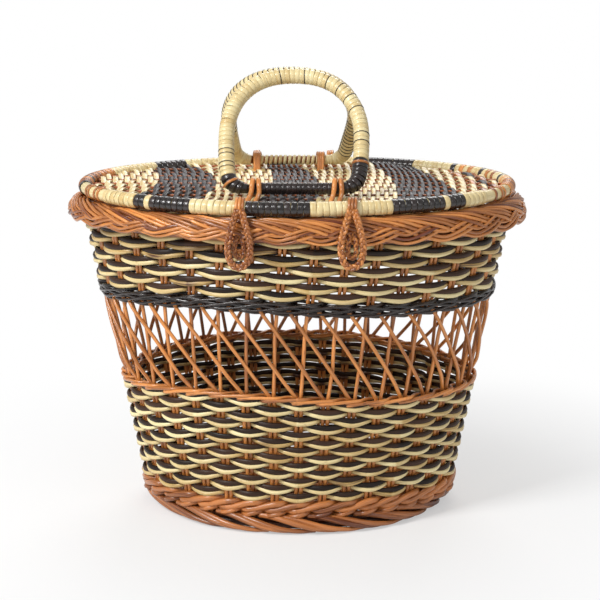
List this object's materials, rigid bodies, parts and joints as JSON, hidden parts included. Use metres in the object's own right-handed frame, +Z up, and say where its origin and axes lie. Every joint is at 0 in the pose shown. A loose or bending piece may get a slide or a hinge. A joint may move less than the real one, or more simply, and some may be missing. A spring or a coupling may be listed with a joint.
{
  "type": "picnic basket",
  "caption": "Oval willow picnic basket with woven walls, an open lattice band, a hinged checker-woven lid, two wrapped carrying handles and two braided closure loops.",
  "frame": {"origin": "middle of the footprint on the floor, under the foot border", "axes": "+X to the right along the length of the oval, seen from the front; +Y from the front with the closure loops to the rear with the lid hinge; +Z up"},
  "size_m": [0.4572, 0.326, 0.4366],
  "materials": {
    "brown_willow": "satin peeled willow, boiled brown",
    "pale_willow": "satin peeled willow, dark and pale rods laid together",
    "dark_willow": "satin willow, stained nearly black",
    "cream_cane": "glossy split cane",
    "black_cane": "glossy split cane, stained black",
    "checker_cane": "flat cream and slate-black cane strips in a checker pattern"
  },
  "bodies": {
    "basket": {"foot_border": "brown_willow", "base_panel": "brown_willow", "base_wale_rod_1": "brown_willow", "base_wale_rod_2": "brown_willow", "base_wale_rod_3": "brown_willow", "stakes_01": "brown_willow", "stakes_02": "brown_willow", "stakes_03": "brown_willow", "stakes_04": "brown_willow", "stakes_05": "brown_willow", "stakes_06": "brown_willow", "stakes_07": "brown_willow", "stakes_08": "brown_willow", "stakes_09": "brown_willow", "stakes_10": "brown_willow", "stakes_11": "brown_willow", "stakes_12": "brown_willow", "lower_weavers": "pale_willow", "brown_wale_rod_1": "brown_willow", "black_wale_rod_1": "dark_willow", "brown_wale_rod_2": "brown_willow", "black_wale_rod_2": "dark_willow", "upper_weavers": "pale_willow", "rim_border": "brown_willow", "left_binding_ring": "brown_willow", "right_binding_ring": "brown_willow"},
    "lid": {"lid_frame": "brown_willow", "lid_weave": "checker_cane", "front_left_lashing": "brown_willow", "front_right_lashing": "brown_willow", "rear_left_lashing": "brown_willow", "rear_right_lashing": "brown_willow"},
    "front_handle": {"front_handle": "cream_cane", "front_bar_wrap": "black_cane"},
    "rear_handle": {"rear_handle": "cream_cane", "rear_bar_wrap": "cream_cane"},
    "left_closure": {"left_closure_loop": "brown_willow"},
    "right_closure": {"right_closure_loop": "brown_willow"},
    "left_becket": {"left_becket": "brown_willow"},
    "right_becket": {"right_becket": "brown_willow"}
  },
  "joints": [
    {"name": "lid_hinge", "type": "hinge", "parent": "basket", "child": "lid", "pos_m": [0, 0.14453, 0.3291], "axis": [-1, 0, 0], "range_deg": [0, 110]},
    {"name": "front_handle_hinge", "type": "hinge", "parent": "lid", "child": "front_handle", "pos_m": [-0.0045, -0.094, 0.33965], "axis": [1, 0, 0], "range_deg": [0, 120]},
    {"name": "rear_handle_hinge", "type": "hinge", "parent": "lid", "child": "rear_handle", "pos_m": [-0.007, 0.094, 0.33965], "axis": [1, 0, 0], "range_deg": [-120, 0]},
    {"name": "left_closure_swing", "type": "hinge", "parent": "lid", "child": "left_closure", "pos_m": [-0.055, -0.14121, 0.3291], "axis": [1, 0, 0], "range_deg": [-150, 0]},
    {"name": "right_closure_swing", "type": "hinge", "parent": "lid", "child": "right_closure", "pos_m": [0.049, -0.14228, 0.3291], "axis": [1, 0, 0], "range_deg": [-150, 0]},
    {"name": "left_becket_swing", "type": "hinge", "parent": "basket", "child": "left_becket", "pos_m": [-0.055, -0.15376, 0.30339], "axis": [1, 0, 0], "range_deg": [-110, 0]},
    {"name": "right_becket_swing", "type": "hinge", "parent": "basket", "child": "right_becket", "pos_m": [0.049, -0.15476, 0.30339], "axis": [1, 0, 0], "range_deg": [-110, 0]}
  ]
}
